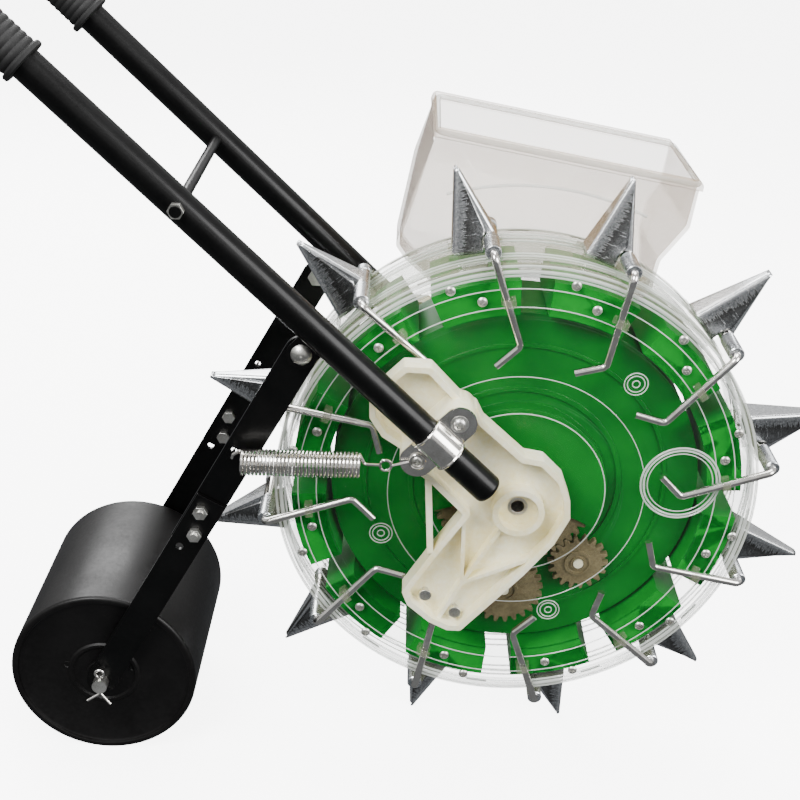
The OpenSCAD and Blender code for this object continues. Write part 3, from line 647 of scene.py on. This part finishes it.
def hubRings(at):
    # raised rings round a gear's bore, drawn in at the top
    y, top = gearHub["y"], gearHub["y"] - gearHub["height"]
    return joinShapes([lathe([(y, inner), (top, inner + 0.3), (top, outer - 0.3), (y, outer)], (at[0], 0, at[1]),
                             (0, 1, 0), 40, closed=True) for outer, inner in gearHub["rings"]])


makePiece("stirrerGearHub", hubRings((58.0, -65.51)), greasedAcetal, "stirrer")
makePiece("meteringGearHub", hubRings((0.0, -95.0)), greasedAcetal, "metering")

# Press roller
roller = {"at": (-322.636, -171.664), "radius": 75.0, "half": 78.0, "rimEdge": 3.0, "recess": 3.0, "lip": 5.5,
          "vents": (-30.0, 24.0)}


def rollerProfile():
    # across the machine: axle tube, recessed end wall with its boss ring, lip, rounded shoulder, and the same back
    r, h, edge, lip = roller["radius"], roller["half"], roller["rimEdge"], roller["lip"]
    wall = -h + roller["recess"]
    end = [(wall, 11.05), (wall, 24), (wall - 1.2, 25.5), (wall - 1.2, 28), (wall, 29.5), (wall, r - lip - 2),
           (wall - 0.8, r - lip - 0.6), (-h + 0.4, r - lip), (-h, r - lip + 0.6), (-h, r - edge)]
    a = np.radians(np.linspace(15, 90, 6))
    arc = np.stack([-h + edge * (1 - np.cos(a)), r - edge + edge * np.sin(a)], -1)
    front = np.vstack([end, arc])
    return np.vstack([front, front[::-1] * [-1, 1]])


rollerCentre = (roller["at"][0], frameMiddle, roller["at"][1])
makePiece("rollerBarrel", lathe(rollerProfile(), rollerCentre, (0, 1, 0), 128, closed=True), rollerPlastic,
          "press_roller", ["press_roller"])
ventProfile = [(0.3, 1.2), (-0.5, 2.2), (-0.5, 3.4), (0.3, 3.8)]
ventWall = frameMiddle - roller["half"] + roller["recess"]
vents = [lathe(ventProfile, (roller["at"][0] + x, ventWall, roller["at"][1] + 6), (0, 1, 0), 24, closed=True)
         for x in roller["vents"]]
makePiece("rollerVents", joinShapes(vents), rollerPlastic, "press_roller")

pin = {"y": -93.0, "wire": 1.15, "shank": 1.5}


def splitPin():
    # an eye above the axle, one straight shank and two legs spread below
    c = np.array([roller["at"][0], pin["y"], roller["at"][1]])
    a = np.radians(np.linspace(-70, 250, 30))[:, None]
    eye = c + [0, 0, 11.2] + 3.4 * (np.cos(a) * np.array([1, 0, 0]) + np.sin(a) * np.array([0, 0, 1]))
    shank = np.array([c + [0, 0, 8.2], c + [0, 0, -8.4]])
    left = bentPath([c + [0, 0, 6], c + [-0.4, 0, -8.4], c + [-10, -2.5, -14]], 2.0, 6)
    right = bentPath([c + [0, 0, 6], c + [0.4, 0, -8.4], c + [8.5, -2.5, -16.5]], 2.0, 6)
    return joinShapes([sweep(shank, pin["shank"], 12)] + [sweep(run, pin["wire"], 12) for run in (eye, left, right)])


makePiece("splitPins", joinShapes([splitPin(), mirrored(splitPin())]), brightWire, "roller_arm",
          ["cotter_pins"])
print("seeder: roller finished")

# Springs
coil = {"from": (-211.0, 43.0), "to": (-123.0, 46.0), "y": -99.0, "radius": 8.9, "wire": 1.15, "turns": 32}


def coilShape():
    # helix round the line between the spring's ends, 18 points to a turn
    a = np.array([coil["from"][0], coil["y"], coil["from"][1]])
    b = np.array([coil["to"][0], coil["y"], coil["to"][1]])
    ahead = unit(b - a)
    up = np.array([-ahead[2], 0, ahead[0]])
    n = coil["turns"] * 18
    t = np.linspace(0, 1, n)[:, None]
    angle = 2 * math.pi * coil["turns"] * t
    path = a + t * (b - a) + coil["radius"] * (np.cos(angle) * up + np.sin(angle) * np.array([0, 1, 0]))
    return path, a, b, up


coilPath, coilStart, coilEnd, coilUp = coilShape()
arm = {"pivot": (-169.0, 126.0), "lean": 27.3, "hookDown": 95.0, "hookOut": 5.0}
armLean = math.radians(arm["lean"])
armDir = np.array([-math.sin(armLean), -math.cos(armLean)])
armSide = np.array([-math.cos(armLean), math.sin(armLean)])
hook = np.array(arm["pivot"]) + arm["hookDown"] * armDir + arm["hookOut"] * armSide
hookPath = bentPath([coilStart + coilUp * coil["radius"], [hook[0] + 1, coil["y"] + 1, hook[1] + 4],
                     [hook[0], coil["y"] + 3, hook[1]],
                     [hook[0], -80.0, hook[1]]], 1.6, 6)
springShape = joinShapes([sweep(coilPath, coil["wire"], 8), sweep(hookPath, coil["wire"], 10)])
makePiece("frontCoilSpring", springShape, brightWire, "frame", ["front_spring"])
makePiece("rearCoilSpring", mirrored(springShape), brightWire, "frame", ["rear_spring"])
earLow = clampMiddle - earOut


def linkShape():
    # hook out of the coil's end, an eye, and a wire on to a loop under the clamp's lower screw
    y = coil["y"]
    out = sweep(bentPath([coilEnd + coilUp * 8.6, coilEnd + [3.5, 0, 1], [-108.5, y, 47.0]], 2.0, 6), 1.1, 10)
    a = np.linspace(0, 2 * math.pi, 28, endpoint=False)
    eye = sweep(np.stack([-104 + 4.2 * np.cos(a), np.full(28, y), 47 + 4.2 * np.sin(a)], -1), 1.1, 10, closed=True)
    run = sweep([[-99.8, y, 47.0], [earLow[0] - 6.2, -97.0, earLow[1]]], 1.0, 10)
    around = np.stack([earLow[0] + 5.6 * np.cos(a), np.full(28, -96.0), earLow[1] + 5.6 * np.sin(a)], -1)
    loop = sweep(around, 1.0, 10, closed=True)
    return joinShapes([out, eye, run, loop])


makePiece("springLinkWires", joinShapes([linkShape(), mirrored(linkShape())]), brightWire, "frame",
          ["spring_links"])
print("seeder: springs finished")

# Camera, light and floor
view = {"eye": (-0.11171, -0.92984, 0.49350), "towards": (0.020662, 0.903459, -0.428176),
        "up": (-0.059094, 0.428623, 0.901549), "lens": 57.88, "shift": (-0.00698, 0.00177)}
eyePoint, back = Vector(view["eye"]), -Vector(view["towards"])
right = Vector(view["up"]).cross(back)
camera = bpy.data.objects.new("viewCamera", bpy.data.cameras.new("viewCamera"))
camera.matrix_world = Matrix(((right.x, view["up"][0], back.x, eyePoint.x),
                              (right.y, view["up"][1], back.y, eyePoint.y),
                              (right.z, view["up"][2], back.z, eyePoint.z), (0, 0, 0, 1)))
camera.data.lens = view["lens"]
camera.data.shift_x, camera.data.shift_y = view["shift"]
camera.data.clip_start = 0.01
bpy.context.scene.collection.objects.link(camera)
bpy.context.scene.camera = camera

studio = {"sky": 0.75, "lamps": [("keyLamp", (-1.2, -1.5, 1.9), 1.3, 84.0), ("fillLamp", (1.7, -1.3, 1.1), 1.5, 60.0),
                                 ("topLamp", (0.1, 0.5, 2.2), 1.4, 50.0), ("rearLamp", (-0.9, 1.7, 1.3), 1.4, 48.0)]}
floorMaterial = surface("palePaintedFloor", {"IOR": 1.45, "Emission Color": (1.0, 1.0, 1.0, 1.0),
                        "Emission Strength": 6.0}, "#F1F1F0", "#F6F6F5", 40.0, (0.75, 0.85), 0.02, 0.02)
floorHalf, floorLevel = 60000.0, -246.95
corner = np.array([[[-floorHalf, -floorHalf, floorLevel], [floorHalf, -floorHalf, floorLevel]],
                   [[-floorHalf, floorHalf, floorLevel], [floorHalf, floorHalf, floorLevel]]])
floorMesh = bpy.data.meshes.new("studioFloor")
floorVerts, floorFaces, floorMap = gridShape(corner, around=False, capped=False)
floorMesh.from_pydata((floorVerts * 0.001).tolist(), [], floorFaces[0].tolist())
floorMesh.materials.append(floorMaterial)
floor = bpy.data.objects.new("studioFloor", floorMesh)
bpy.context.scene.collection.objects.link(floor)
floor.visible_glossy = floor.visible_diffuse = False  # a bright floor that throws no glare back onto the machine
for name, at, size, power in studio["lamps"]:
    lamp = bpy.data.lights.new(name, "AREA")
    lamp.shape, lamp.size, lamp.energy = "DISK", size, power
    lampObject = bpy.data.objects.new(name, lamp)
    lampObject.location = at
    lampObject.rotation_euler = (Vector((-0.05, 0, 0)) - Vector(at)).to_track_quat("-Z", "Y").to_euler()
    bpy.context.scene.collection.objects.link(lampObject)
world = bpy.data.worlds.new("studioSky")
world.use_nodes = True
skyTree = world.node_tree
skyPlace = addNode(skyTree, "ShaderNodeTexCoord")
skyHeight = addNode(skyTree, "ShaderNodeSeparateXYZ", links={"Vector": skyPlace.outputs["Generated"]})
skyTone = ramp(skyTree, skyHeight.outputs["Z"], [(0.0, "#7E8082"), (0.012, "#F6F6F6"), (1.0, "#FFFFFF")])
skyTree.links.new(skyTone, skyTree.nodes["Background"].inputs["Color"])
skyTree.nodes["Background"].inputs["Strength"].default_value = studio["sky"]
bpy.context.scene.world = world

print("seeder: scene complete")
